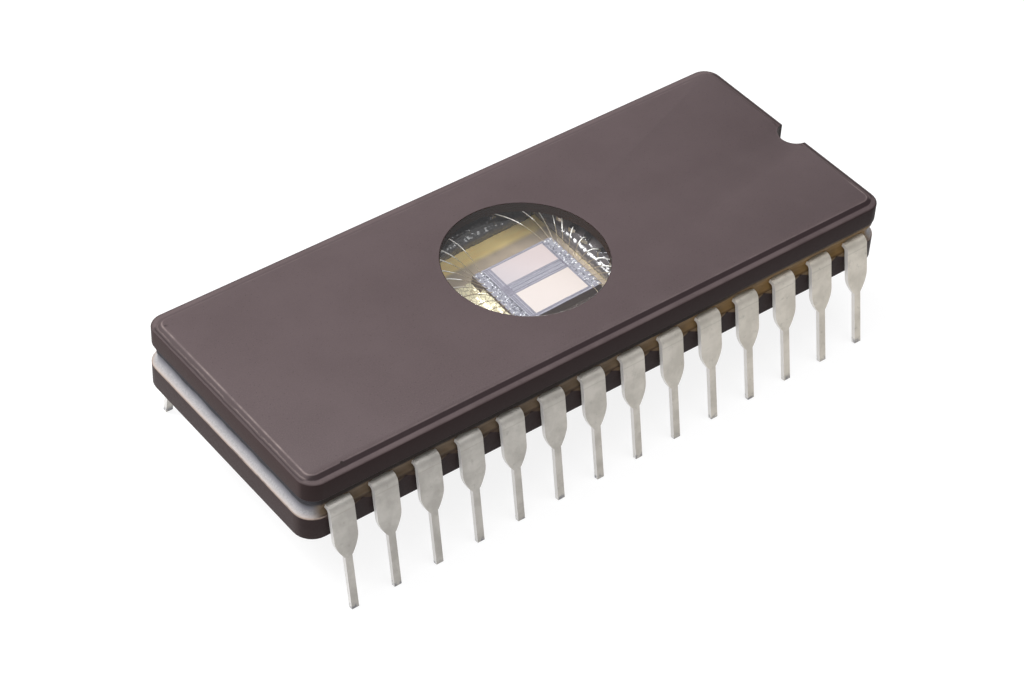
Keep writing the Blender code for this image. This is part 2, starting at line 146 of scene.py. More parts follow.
class Nodes:
    """Builds in a node tree. An input is linked where it is given a socket, and set where it is given a value."""

    prefix = ""

    def __init__(self, tree):
        self.tree = tree

    def node(self, kind, inputs=(), **settings):
        made = self.tree.nodes.new(self.prefix + kind)
        for key, value in settings.items():
            setattr(made, key, value)
        for key, value in dict(inputs).items():
            self.feed(made.inputs[key], value)
        return made

    def feed(self, socket, value):
        if isinstance(value, bpy.types.NodeSocket):
            self.tree.links.new(value, socket)
        elif isinstance(value, tuple) and socket.type == "RGBA":
            socket.default_value = (*value, 1)
        else:
            socket.default_value = value


class Paint(Nodes):
    """A node material grown from its Principled shader. Pattern sizes are in millimetres."""

    prefix = "ShaderNode"

    def __init__(self, name):
        self.material = bpy.data.materials.new(name)
        self.material.use_nodes = True
        super().__init__(self.material.node_tree)
        self.shader = self.tree.nodes["Principled BSDF"]
        self.place = self.node("TexCoord").outputs["Object"]
        self.x, self.y, self.z = self.split(self.place)

    def split(self, vector):
        return self.node("SeparateXYZ", {0: vector}).outputs

    def facing(self):
        """X, Y and Z of the surface's normal."""
        return self.split(self.node("NewGeometry").outputs["Normal"])

    def set(self, **sockets):
        for name, value in sockets.items():
            self.feed(self.shader.inputs[name.replace("_", " ")], value)

    def math(self, operation, first, second=0.0):
        return self.node("Math", {0: first, 1: second}, operation=operation).outputs[0]

    def plus(self, first, second):
        return self.math("ADD", first, second)

    def minus(self, first, second):
        return self.math("SUBTRACT", first, second)

    def absolute(self, value):
        return self.math("ABSOLUTE", value)

    def larger(self, first, second):
        return self.math("MAXIMUM", first, second)

    def product(self, *values):
        total = values[0]
        for value in values[1:]:
            total = self.math("MULTIPLY", total, value)
        return total

    def stretched(self, scale):
        return self.node("Mapping", {"Vector": self.place, "Scale": scale}).outputs[0]

    def noise(self, size, detail=2.0, roughness=0.5, place=None):
        made = self.node("TexNoise", {
            "Vector": place or self.place, "Scale": 1 / (size * MM), "Detail": detail, "Roughness": roughness,
        })
        return made.outputs["Fac"]

    def cells(self, size, place=None, feature="F1"):
        made = self.node("TexVoronoi", {"Vector": place or self.place, "Scale": 1 / (size * MM)}, feature=feature)
        return made.outputs["Distance"]

    def ease(self, value, low, high, to_low=0.0, to_high=1.0):
        inputs = dict(enumerate((value, low, high, to_low, to_high)))
        return self.node("MapRange", inputs, interpolation_type="SMOOTHSTEP").outputs[0]

    def mix(self, share, first, second):
        return self.node("Mix", {0: share, 6: first, 7: second}, data_type="RGBA").outputs[2]

    def bump(self, height, depth, under=None):
        made = self.node("Bump", {"Distance": depth * MM, "Height": height})
        if under is not None:
            self.feed(made.inputs["Normal"], under)
        return made.outputs[0]

    def off_edge(self, half_x, half_y, radius):
        """Distance past the outline of a rounded rectangle about the origin, in metres, negative inside it."""
        past_x = self.minus(self.absolute(self.x), half_x - radius)
        past_y = self.minus(self.absolute(self.y), half_y - radius)
        out_x = self.larger(past_x, 0.0)
        out_y = self.larger(past_y, 0.0)
        corner = self.math("SQRT", self.plus(self.product(out_x, out_x), self.product(out_y, out_y)))
        inside = self.math("MINIMUM", self.larger(past_x, past_y), 0.0)
        return self.minus(self.plus(corner, inside), radius)

    def near_line(self, distance, width):
        """1 on a line, easing to 0 at a width from it."""
        return self.ease(self.absolute(distance), 0.0, width * MM, 1.0, 0.0)

    def across_pitch(self):
        """0 at a lead's middle, 0.5 midway to the next one towards +X, and 1 at that one."""
        from_far_off = self.plus(self.x, 100.5 * LEAD_PITCH)  # leads stand half a pitch off the middle
        return self.math("FRACT", self.math("DIVIDE", from_far_off, LEAD_PITCH))


def ceramic_finish(name):
    """Pressed brown alumina: fine grain, faint clouding, painted shade on its upright faces, worn edges with painted
    shade and highlights, and a few dark chips.
    """
    paint = Paint(name)
    grain = paint.noise(0.07, detail=4, roughness=0.7)
    fleck = paint.cells(0.22)
    cloud = paint.noise(3.0, detail=4, roughness=0.6)
    worn = paint.noise(1.1, detail=4, roughness=0.65)
    color = paint.mix(paint.ease(cloud, 0.3, 0.7), (0.0590, 0.0435, 0.0447), (0.0650, 0.0483, 0.0497))
    color = paint.mix(paint.ease(grain, 0.40, 0.75, 0.0, 0.55), color, (0.090, 0.066, 0.068))
    color = paint.mix(paint.ease(fleck, 0.06, 0.16, 0.5, 0.0), color, (0.024, 0.017, 0.018))
    # Painted shade: faces that stand upright are darkened.
    side = paint.ease(paint.absolute(paint.facing()[2]), 0.35, 0.80, 0.62, 0.0)
    color = paint.mix(side, color, (0.024, 0.010, 0.009))
    off_plateau = paint.off_edge(PLATEAU_X, PLATEAU_Y, PLATEAU_CORNER)
    color = mark_lid_edges(paint, color, off_plateau, cloud, worn)
    color = mark_base_edges(paint, color, worn)
    chip = paint.product(
        paint.near_line(off_plateau, 0.35),
        paint.ease(paint.noise(0.9, detail=2), 0.70, 0.74),
    )
    color = paint.mix(chip, color, (0.015, 0.010, 0.010))
    pits = paint.bump(paint.noise(0.35, detail=3), 0.006)
    paint.set(
        Base_Color=color,
        Roughness=paint.ease(grain, 0.3, 0.7, 0.50, 0.62),
        Specular_IOR_Level=0.12,
        Normal=paint.bump(grain, 0.0035, under=pits),
    )
    return paint.material


def mark_lid_edges(paint, color, off_plateau, cloud, worn):
    """The lid's edge: painted shade on the step, strongest in front, a painted highlight on the ledge and painted
    shade on the rounded outer edge along the long sides; painted shade below the plateau, and scored and rubbed
    lines, at the ends.
    """
    long_side = paint.ease(paint.minus(paint.absolute(paint.y), PLATEAU_Y), -0.25 * MM, 0.05 * MM)
    at_end = paint.ease(long_side, 0.0, 1.0, 1.0, 0.0)
    # Painted shade on the sloped step along the long sides, strongest on the front (-Y) side.
    step = paint.product(
        paint.ease(paint.z, LEDGE_Z - 0.01 * MM, LEDGE_Z + 0.02 * MM),
        paint.ease(paint.z, LID_HIGH[2] - 0.03 * MM, LID_HIGH[2] - 0.01 * MM, 0.85, 0.0),
        paint.ease(paint.y, -1.0 * MM, 1.0 * MM, 1.0, 0.1),
        long_side,
    )
    color = paint.mix(step, color, (0.008, 0.003, 0.004))
    # Painted shade on the ends' slope and ledge, past the plateau's edge.
    below = paint.product(paint.ease(off_plateau, 0.03 * MM, 0.10 * MM, 0.0, 0.30), at_end)
    color = paint.mix(below, color, (0.016, 0.009, 0.008))
    across = paint.plus(off_plateau, paint.product(paint.minus(worn, 0.5), 0.16 * MM))
    scored = paint.product(
        paint.near_line(paint.minus(across, 0.33 * MM), 0.05),
        paint.ease(long_side, 0.0, 1.0, 0.65, 0.0),
    )
    color = paint.mix(scored, color, (0.012, 0.007, 0.007))
    bare = paint.product(
        paint.near_line(paint.minus(across, 0.22 * MM), 0.05),
        paint.ease(worn, 0.35, 0.65, 0.10, 0.55),
        at_end,
    )
    color = paint.mix(bare, color, (0.16, 0.125, 0.12))
    off_lid = paint.off_edge(LID_HIGH[0], LID_HIGH[1], LID_CORNER)
    # Painted shade where the rounded outer edge of the long sides turns away from the light.
    painted_shade_outer_edge = paint.product(paint.ease(off_lid, -0.16 * MM, -0.04 * MM, 0.0, 0.75), long_side)
    color = paint.mix(painted_shade_outer_edge, color, (0.012, 0.005, 0.005))
    # Painted highlight along the ledge of the long sides.
    ledge = paint.product(
        paint.near_line(paint.minus(paint.z, LEDGE_Z), 0.03),
        paint.ease(off_plateau, 0.22 * MM, 0.32 * MM, 0.0, 0.22),
        long_side,
        paint.ease(cloud, 0.35, 0.6, 0.5, 1.0),
    )
    color = paint.mix(ledge, color, (0.15, 0.115, 0.115))
    clear_of_notched_end = paint.ease(paint.x, 16.0 * MM, 17.0 * MM, 1.0, 0.0)
    near_front_corner = paint.ease(paint.y, -5.6 * MM, -3.8 * MM, 1.0, 0.08)
    rub = paint.product(
        paint.near_line(off_plateau, 0.07),
        paint.ease(paint.z, LID_HIGH[2] - 0.05 * MM, LID_HIGH[2] - 0.01 * MM),
        paint.ease(worn, 0.35, 0.70, 0.15, 0.75),
        paint.ease(long_side, 0.0, 1.0, 1.0, 0.2),
        paint.larger(clear_of_notched_end, near_front_corner),
    )
    return paint.mix(rub, color, (0.22, 0.175, 0.165))


def mark_base_edges(paint, color, worn):
    """The base's top edge: a painted highlight along it at its ends, broken up by noise, and peaks of amber glass
    midway between leads.
    """
    # Painted highlight along the base's lit top edge at the ends, broken up by noise.
    painted_edge_highlight = paint.product(
        paint.ease(paint.absolute(paint.x), 17.0 * MM, 17.6 * MM),
        paint.near_line(paint.minus(paint.z, BASE_HIGH[2]), 0.09),
        paint.ease(worn, 0.30, 0.55, 0.45, 1.0),
    )
    color = paint.mix(painted_edge_highlight, color, (0.30, 0.235, 0.20))
    from_peak = paint.absolute(paint.minus(paint.across_pitch(), 0.52))
    foot = paint.minus(BASE_HIGH[2] - 0.01 * MM, paint.product(from_peak, 1.35 * MM))
    stain = paint.product(
        paint.ease(paint.minus(paint.z, foot), 0.0, 0.07 * MM),
        paint.ease(paint.z, BASE_HIGH[2] + 0.1 * MM, BASE_HIGH[2] + 0.2 * MM, 1.0, 0.0),
        paint.ease(paint.absolute(paint.y), 7.1 * MM, 7.15 * MM),
        paint.ease(paint.absolute(paint.x), 17.1 * MM, 17.4 * MM, 1.0, 0.0),
        paint.ease(paint.x, -8.0 * MM, 8.0 * MM, 0.25, 0.85),
    )
    return paint.mix(stain, color, (0.135, 0.090, 0.048))


def seal_finish():
    """Sealing glass outside: amber to tan round the leads, darker at its foot, painted shade under the lid, and pale
    and frosted at its ends, where the paleness is partly a painted reflection of the light.
    """
    paint = Paint("sealing_glass")
    flow = paint.noise(0.8, detail=3)
    frost = paint.noise(0.09, detail=4, roughness=0.75)
    height = paint.minus(paint.z, BASE_HIGH[2])
    tan = paint.mix(flow, (0.085, 0.058, 0.036), (0.17, 0.125, 0.085))
    amber = paint.mix(flow, (0.125, 0.075, 0.028), (0.25, 0.155, 0.065))
    lit = paint.mix(paint.ease(paint.x, -2.0 * MM, 10.0 * MM), tan, amber)
    # Painted shade of the lid: a dark colour for the glass just under it.
    dark = paint.mix(flow, (0.018, 0.012, 0.010), (0.050, 0.034, 0.024))
    reach = paint.ease(paint.x, -2.0 * MM, 10.0 * MM, 0.50 * MM, 0.95 * MM)
    painted_lid_shadow = paint.ease(paint.minus(height, reach), 0.0, 0.18 * MM)
    side = paint.mix(painted_lid_shadow, lit, dark)
    side = paint.mix(paint.ease(height, 0.0, 0.05 * MM, 0.6, 0.0), side, (0.016, 0.009, 0.008))
    # Painted shade on the lip just under the lid, weaker towards +X; the same band is also made rougher.
    lip = paint.product(
        paint.ease(height, 0.62 * MM, 0.74 * MM),
        paint.ease(paint.x, 5.0 * MM, 12.0 * MM, 0.92, 0.25),
    )
    side = paint.mix(lip, side, (0.012, 0.008, 0.007))
    # At the ends the glass is frosted and pale; the paler, warmer foot is partly a painted reflection of the light on
    # the flare, and the greyer to nearly black top is painted shade of the lid.
    pale = paint.mix(paint.ease(frost, 0.35, 0.70), (0.225, 0.220, 0.230), (0.31, 0.302, 0.308))
    pale = paint.mix(paint.ease(height, 0.0, 0.13 * MM, 0.7, 0.0), pale, (0.33, 0.29, 0.265))
    end = paint.mix(paint.ease(height, 0.12 * MM, 0.50 * MM), pale, (0.135, 0.135, 0.155))
    end = paint.mix(paint.ease(height, 0.40 * MM, 0.80 * MM), end, (0.030, 0.029, 0.034))
    at_end = paint.ease(paint.absolute(paint.x), 17.35 * MM, 17.95 * MM)
    ripple = paint.bump(paint.noise(0.45, detail=2), 0.03)
    paint.set(
        Base_Color=paint.mix(at_end, side, end),
        Roughness=paint.plus(paint.ease(frost, 0.35, 0.7, 0.30, 0.50), paint.product(lip, 0.35)),
        Specular_IOR_Level=0.12,
        Normal=paint.bump(frost, 0.0015, under=ripple),
    )
    return paint.material


def cavity_glass_finish():
    """The same glass inside the cavity: glossy and beaded, smoky grey below, with painted shade on its back wall,
    along the floor and, nearly black, under the lid.
    """
    paint = Paint("cavity_glass")
    flow = paint.noise(0.6, detail=3)
    bead = paint.noise(0.30, detail=1)
    level = paint.plus(paint.z, paint.product(flow, 0.15 * MM))
    lower = paint.mix(flow, (0.070, 0.062, 0.064), (0.115, 0.100, 0.102))
    # Painted shade on the back (+Y) wall.
    lower = paint.mix(paint.ease(paint.y, 3.7 * MM, 4.3 * MM), lower, (0.042, 0.038, 0.038))
    # Painted shade along the foot of the wall, by the gold floor.
    painted_shade_by_floor = paint.ease(level, GOLD_HIGH[2] + 0.08 * MM, GOLD_HIGH[2] + 0.22 * MM, 0.85, 0.0)
    lower = paint.mix(painted_shade_by_floor, lower, (0.02, 0.012, 0.008))
    # The top colour is painted shade, nearly black, from the fingers' height up to the lid.
    paint.set(
        Base_Color=paint.mix(paint.ease(level, 6.28 * MM, 6.42 * MM), lower, (0.012, 0.011, 0.012)),
        Roughness=paint.ease(flow, 0.3, 0.7, 0.06, 0.14),
        IOR=1.6,
        Normal=paint.bump(bead, 0.005),
    )
    return paint.material


def lead_finish():
    """Tin-plated stamped strip with dull patches, darker tips, painted shade at the bend and painted light on its -X
    faces; bright fingers in the cavity, and wires painted with highlights and dark reflections.
    """
    paint = Paint("tinned_lead")
    patch = paint.noise(1.3, detail=4, roughness=0.6)
    brushed = paint.noise(0.05, detail=2, place=paint.stretched((1.0, 0.08, 0.08)))
    grime = paint.noise(0.35, detail=3, roughness=0.65)
    along = paint.ease(paint.x, -12.0 * MM, 16.0 * MM)
    clean = paint.mix(along, (0.46, 0.438, 0.405), (0.60, 0.555, 0.485))
    dull = paint.mix(along, (0.37, 0.350, 0.322), (0.50, 0.462, 0.400))
    color = paint.mix(paint.ease(patch, 0.35, 0.65), clean, dull)
    color = paint.mix(paint.ease(grime, 0.58, 0.74, 0.0, 0.4), color, (0.27, 0.26, 0.23))
    tip = paint.ease(paint.plus(paint.z, paint.product(grime, 0.5 * MM)), 0.25 * MM, 0.5 * MM, 0.6, 0.0)
    color = paint.mix(tip, color, (0.33, 0.32, 0.30))
    deep = paint.absolute(paint.y)
    # Painted shade in a band at the foot of the bend.
    crease = paint.product(
        paint.near_line(paint.minus(paint.z, LEAD_BEND_Z), 0.06),
        paint.ease(deep, 7.0 * MM, 7.2 * MM, 0.0, 0.35),
    )
    color = paint.mix(crease, color, (0.29, 0.27, 0.235))
    # Painted light on the faces that turn towards -X.
    painted_light_minus_x = paint.ease(paint.facing()[0], -0.90, -0.60, 0.7, 0.0)
    color = paint.mix(painted_light_minus_x, color, (0.70, 0.69, 0.68))
    cut = paint.product(paint.ease(paint.z, 0.10 * MM, 0.45 * MM, 0.7, 0.0), paint.ease(grime, 0.48, 0.60))
    color = paint.mix(cut, color, (0.13, 0.135, 0.16))
    wide = paint.absolute(paint.x)
    in_cavity = paint.product(paint.ease(wide, 5.4 * MM, 5.2 * MM), paint.ease(deep, 5.8 * MM, 5.6 * MM))
    over_floor = paint.product(paint.ease(wide, 4.14 * MM, 4.12 * MM), paint.ease(deep, 4.50 * MM, 4.48 * MM))
    wire = paint.larger(over_floor, paint.ease(paint.z, LEAD_TOP + 0.003 * MM, LEAD_TOP + 0.008 * MM))
    # Wires: a painted highlight on the tops of some arches, and elsewhere a dull brown, a painted reflection of the
    # dark around them.
    painted_glint_reach = paint.larger(paint.ease(paint.x, -0.5 * MM, 0.5 * MM), paint.ease(paint.y, 0.8 * MM, 1.6 * MM))
    arch_top = paint.ease(paint.z, LEAD_TOP + 0.085 * MM, LEAD_TOP + 0.125 * MM)
    glint = paint.mix(paint.product(painted_glint_reach, arch_top), (0.31, 0.25, 0.165), (1.0, 0.98, 0.93))
    color = paint.mix(in_cavity, color, paint.mix(wire, (0.85, 0.86, 0.90), glint))
    metal = paint.ease(in_cavity, 0.0, 1.0, 0.40, 1.0)
    paint.set(
        Base_Color=color,
        Metallic=paint.product(metal, paint.ease(paint.product(in_cavity, wire), 0.0, 1.0, 1.0, 0.0)),
        Roughness=paint.ease(paint.minus(patch, in_cavity), -0.7, 0.7, 0.22, 0.55),
        Normal=paint.bump(brushed, 0.0012),
    )
    return paint.material


def gold_finish():
    """Fired gold on the cavity's floor, brighter by the back wall, duller by the die and shaded in front of it."""
    paint = Paint("cavity_gold")
    streak = paint.noise(0.25, detail=3, place=paint.stretched((0.25, 1.0, 1.0)))
    blotch = paint.noise(1.0, detail=3)
    by_die = paint.mix(blotch, (0.47, 0.385, 0.31), (0.58, 0.47, 0.34))
    by_die = paint.mix(paint.ease(paint.x, -3.6 * MM, -2.2 * MM, 0.8, 0.0), by_die, (0.72, 0.53, 0.33))
    by_back = paint.mix(streak, (1.0, 0.70, 0.27), (1.0, 0.83, 0.38))
    by_right = paint.mix(streak, (0.62, 0.50, 0.26), (0.76, 0.62, 0.34))
    color = paint.mix(paint.ease(paint.y, 3.00 * MM, 3.35 * MM), by_die, by_back)
    color = paint.mix(paint.ease(paint.x, 3.80 * MM, 3.88 * MM), color, by_right)
    before_die = paint.ease(paint.y, -2.2 * MM, -1.9 * MM, 0.85, 0.0)
    paint.set(
        Base_Color=paint.mix(before_die, color, (0.18, 0.125, 0.105)),
        Metallic=0.55,
        Roughness=paint.ease(blotch, 0.3, 0.7, 0.38, 0.52),
        Normal=paint.bump(streak, 0.004),
    )
    return paint.material


def solder_finish():
    """Gold alloy that froze in bright wrinkles, with painted shade in front of the die."""
    paint = Paint("gold_solder")
    crack = paint.cells(0.17, place=paint.stretched((1.0, 0.7, 0.3)), feature="DISTANCE_TO_EDGE")
    blotch = paint.noise(0.4, detail=3)
    bead = paint.noise(0.10, detail=2)
    color = paint.mix(blotch, (0.96, 0.90, 0.66), (0.80, 0.71, 0.47))
    color = paint.mix(paint.ease(crack, 0.01, 0.09, 0.75, 0.0), color, (0.26, 0.20, 0.11))
    # Painted shade in front of the die.
    front = paint.ease(paint.y, DIE_LOW[1] - 0.03 * MM, DIE_LOW[1] + 0.03 * MM, 1.0, 0.0)
    paint.set(
        Base_Color=paint.mix(front, color, (0.105, 0.072, 0.062)),
        Metallic=0.3,
        Roughness=0.34,
        Normal=paint.bump(bead, 0.006),
    )
    return paint.material


def die_finish():
    """Silicon with a lilac, finely ruled passivated face and dull brown sawn sides."""
    paint = Paint("die_field")
    ruled = paint.noise(0.05, detail=2, place=paint.stretched((0.12, 1.0, 1.0)))
    weave = paint.noise(0.09, detail=3)
    face = paint.mix(paint.ease(ruled, 0.35, 0.65), (0.20, 0.19, 0.24), (0.31, 0.29, 0.35))
    face = paint.mix(paint.ease(weave, 0.5, 0.8, 0.0, 0.5), face, (0.14, 0.13, 0.17))
    top = paint.ease(paint.z, DIE_HIGH[2] - 0.01 * MM, DIE_HIGH[2] - 0.005 * MM)
    paint.set(
        Base_Color=paint.mix(top, (0.125, 0.085, 0.075), face),
        Metallic=paint.product(top, 0.35),
        Roughness=paint.ease(top, 0.0, 1.0, 0.5, 0.24),
        Normal=paint.bump(weave, 0.002),
    )
    return paint.material


def film_finish(name, near_color, far_color, metallic, roughness):
    """A thin film on the die whose tint drifts across it."""
    paint = Paint(name)
    drift = paint.ease(paint.plus(paint.x, paint.product(paint.y, 0.6)), -2.2 * MM, 3.4 * MM)
    grid = paint.noise(0.03, detail=1)
    color = paint.mix(drift, near_color, far_color)
    shade = tuple(0.86 * channel for channel in far_color)
    paint.set(
        Base_Color=paint.mix(paint.ease(grid, 0.4, 0.7, 0.0, 0.5), color, shade),
        Metallic=metallic,
        Roughness=roughness,
        Normal=paint.bump(grid, 0.0008),
    )
    return paint.material


def pane_finish():
    """Clear window glass. Shadow and reflection rays pass it unbent, so that the lamps light the cavity."""
    paint = Paint("window_glass")
    smear = paint.noise(2.5, detail=2)
    paint.set(
        Base_Color=(0.97, 0.985, 0.98),
        Roughness=0.0,
        IOR=1.47,
        Transmission_Weight=1.0,
        Normal=paint.bump(smear, 0.004),
    )
    path = paint.node("LightPath")
    clear = paint.node("BsdfTransparent").outputs[0]
    surface = paint.shader.outputs[0]
    for kind in ("Is Shadow Ray", "Is Reflection Ray"):
        surface = paint.node("MixShader", {0: path.outputs[kind], 1: surface, 2: clear}).outputs[0]
    paint.feed(paint.tree.nodes["Material Output"].inputs["Surface"], surface)
    return paint.material


def fused_rim_finish():
    """Where the window's side has wetted the lid: the ceramic seen through glass, darker than the lid's as painted
    shade of the hole's wall.
    """
    paint = Paint("fused_rim")
    grain = paint.noise(0.2, detail=3)
    # Painted shade: darker than the lid's own ceramic.
    paint.set(
        Base_Color=paint.mix(grain, (0.018, 0.009, 0.006), (0.034, 0.019, 0.013)),
        Roughness=0.9,
        Specular_IOR_Level=0.0,
        Normal=paint.bump(grain, 0.01),
    )
    return paint.material


def floor_finish():
    """A floor that is white mostly by its own glow, so that the chip's shade on it stays faint."""
    paint = Paint("floor")
    drift = paint.noise(120.0, detail=2)
    paint.set(
        Base_Color=paint.mix(drift, (0.15, 0.15, 0.15), (0.17, 0.17, 0.17)),
        Roughness=0.9,
        Emission_Color=(1.0, 1.0, 1.0),
        Emission_Strength=0.85,
    )
    return paint.material


def repaint(name, finish):
    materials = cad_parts[name].data.materials
    materials.clear()
    materials.append(finish)


def new_piece(name, bm, finishes):
    """A piece of the object, smooth apart from its sharp edges, riding on the package."""
    bmesh.ops.recalc_face_normals(bm, faces=bm.faces)
    mesh = bpy.data.meshes.new(name)
    bm.to_mesh(mesh)
    bm.free()
    mesh.shade_smooth()
    mesh.set_sharp_from_angle(angle=SMOOTH_ANGLE)
    for finish in finishes:
        mesh.materials.append(finish)
    piece = bpy.data.objects.new(name, mesh)
    bpy.context.collection.objects.link(piece)
    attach(piece, "root")
    return piece


class Shaping(Nodes):
    """A geometry-nodes group for CAD nodes, through which a mesh passes step by step.

    Where a number is named, each modifier gives its own value for it.
    """

    def __init__(self, name, number=None):
        super().__init__(bpy.data.node_groups.new(name, "GeometryNodeTree"))
        for way in ("INPUT", "OUTPUT"):
            self.tree.interface.new_socket("Geometry", in_out=way, socket_type="NodeSocketGeometry")
        if number:
            asked = self.tree.interface.new_socket(number, in_out="INPUT", socket_type="NodeSocketFloat")
            asked.default_value = 0.0
            self.number_key = asked.identifier
        self.inputs = self.node("NodeGroupInput").outputs
        self.mesh = self.inputs["Geometry"]
        place = self.node("GeometryNodeInputPosition").outputs["Position"]
        self.x, self.y, self.z = self.node("ShaderNodeSeparateXYZ", {0: place}).outputs

    def step(self, kind, inputs=(), **settings):
        """Passes the mesh through one more node."""
        self.mesh = self.node(kind, {"Geometry": self.mesh, **dict(inputs)}, **settings).outputs["Geometry"]

    def above(self, value, limit):
        made = self.node("FunctionNodeCompare", {"A": value, "B": limit}, operation="GREATER_THAN")
        return made.outputs["Result"]

    def logic(self, operation, first, second):
        made = self.node("FunctionNodeBooleanMath", {0: first, 1: second}, operation=operation)
        return made.outputs["Boolean"]

    def end(self):
        self.node("NodeGroupOutput", {"Geometry": self.mesh})

    def modify(self, name):
        """Puts the group on a CAD node, after the modifiers that it already has."""
        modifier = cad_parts[name].modifiers.new(self.tree.name, "NODES")
        modifier.node_group = self.tree
        return modifier


def edge_softener():
    """Welds a CAD node's facets, smooths its round stretches and marks the edges that a bevel will round.

    Those are its sharp edges that lie further from the middle in Y than the number that the modifier is given, and
    of the nearer ones the long top edges of the leads' inner fingers.
    """
    shape = Shaping("weld_and_smooth", "Clear of middle")
    shape.step("GeometryNodeMergeByDistance", {"Distance": 0.0005 * MM})
    shape.step("GeometryNodeRemoveAttribute", {"Name": "custom_normal"})
    shape.step("GeometryNodeSetShadeSmooth", {"Shade Smooth": True}, domain="FACE")
    steep = shape.above(shape.node("GeometryNodeInputMeshEdgeAngle").outputs["Unsigned Angle"], SMOOTH_ANGLE)
    shape.step("GeometryNodeSetShadeSmooth", {"Selection": steep, "Shade Smooth": False}, domain="EDGE")
    off_middle = shape.node("ShaderNodeMath", {0: shape.y}, operation="ABSOLUTE").outputs[0]
    outside = shape.above(off_middle, shape.inputs["Clear of middle"])
    ends = shape.node("GeometryNodeInputMeshEdgeVertices").outputs
    length = shape.node("ShaderNodeVectorMath", {0: ends["Position 1"], 1: ends["Position 2"]}, operation="DISTANCE")
    long = shape.above(length.outputs["Value"], 0.08 * MM)
    high = shape.above(shape.z, LEAD_TOP - 0.01 * MM)
    picked = shape.logic("OR", outside, shape.logic("AND", long, high))
    shape.step(
        "GeometryNodeStoreNamedAttribute",
        {"Selection": shape.logic("AND", steep, picked), "Name": "bevel_weight_edge", "Value": 1.0},
        domain="EDGE",
        data_type="FLOAT",
    )
    shape.end()
    return shape


def round_edges(name, softener, width, clear_of_middle=0.0):
    """Gives a CAD node soft edges; clear_of_middle is the softener's number."""
    modifier = softener.modify(name)
    modifier[softener.number_key] = clear_of_middle
    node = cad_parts[name]
    flat = node.modifiers.new("join_flat_facets", "DECIMATE")
    flat.decimate_type = "DISSOLVE"
    flat.angle_limit = radians(0.2)
    bevel = node.modifiers.new("soft_edges", "BEVEL")
    bevel.width = width
    bevel.segments = 2
    bevel.limit_method = "WEIGHT"
    bevel.harden_normals = True


def thicken_wires():
    """Makes the tops of the bond wires' arches as broad as their glints look."""
    shape = Shaping("broad_arch")
    growth = shape.node("ShaderNodeMapRange", {
        "Value": shape.z, "From Min": LEAD_TOP + 0.06 * MM, "From Max": LEAD_TOP + 0.12 * MM, "To Max": 0.013 * MM,
    }).outputs["Result"]
    outward = shape.node("GeometryNodeInputNormal").outputs["Normal"]
    offset = shape.node("ShaderNodeVectorMath", {0: outward, "Scale": growth}, operation="SCALE").outputs["Vector"]
    shape.step("GeometryNodeSetPosition", {"Offset": offset})
    shape.end()
    for lead in LEADS:
        shape.modify(lead)


def carry_ledge_round_notch():
    """Takes the plateau's edge and the ledge on round the end notch, as the pressed lid has them."""
    shape = Shaping("notch_ledge")
    past_top = 0.3 * MM
    rise = LID_HIGH[2] - LEDGE_Z
    cone = shape.node("GeometryNodeMeshCone", {
        "Vertices": 96,
        "Radius Bottom": NOTCH_RADIUS + LEDGE_END,
        "Radius Top": NOTCH_RADIUS + LEDGE_END + SLOPE_END * (1 + past_top / rise),
        "Depth": rise + past_top,
    }).outputs["Mesh"]
    notch_middle = (LID_HIGH[0] - NOTCH_DEPTH + NOTCH_RADIUS, 0, LEDGE_Z)
    moved = shape.node("GeometryNodeTransform", {"Geometry": cone, "Translation": notch_middle}).outputs["Geometry"]
    cut = shape.node("GeometryNodeMeshBoolean", operation="DIFFERENCE", solver="EXACT")
    shape.feed(cut.inputs["Mesh 1"], shape.mesh)
    shape.feed(cut.inputs["Mesh 2"], moved)
    shape.mesh = cut.outputs["Mesh"]
    shape.end()
    shape.modify("ceramic_lid")


def rounded_loop(half_x, half_y, radius, steps_x, steps_y, steps_corner):
    """Points and outward normals round a rounded rectangle, anticlockwise from its +X side."""
    sides = ((half_x, half_y - radius, steps_y), (half_y, half_x - radius, steps_x)) * 2
    loop = []
    for quarter, (reach, run, steps) in enumerate(sides):
        start = quarter * pi / 2
        out = Vector((cos(start), sin(start)))
        along = Vector((-sin(start), cos(start)))
        for step in range(steps):
            loop.append((out * reach + along * (2 * run * step / steps - run), out))
        center = out * (reach - radius) + along * run
        for step in range(steps_corner):
            angle = start + pi / 2 * step / steps_corner
            turn = Vector((cos(angle), sin(angle)))
            loop.append((center + turn * radius, turn))
    return loop


# Outer form of the fired glass, as (set in from the ceramic's edge, height above the base) in millimetres:
# a flare onto the base, a groove round the leads, then a lip under the lid
SIDE_PROFILE = (
    (0.00, 0.00), (0.06, 0.012), (0.12, 0.04), (0.17, 0.085), (0.21, 0.15), (0.24, 0.23), (0.26, 0.33),
    (0.27, 0.45), (0.27, 0.58), (0.24, 0.67), (0.16, 0.735), (0.08, 0.785), (0.035, 0.85), (0.01, 0.95),
    (0.00, 1.13),
)
END_PROFILE = (
    (0.00, 0.00), (0.06, 0.03), (0.12, 0.07), (0.17, 0.13), (0.205, 0.21), (0.22, 0.32), (0.215, 0.45),
    (0.19, 0.58), (0.16, 0.70), (0.13, 0.82), (0.10, 0.92), (0.07, 1.02), (0.05, 1.08), (0.03, 1.11),
    (0.00, 1.13),
)
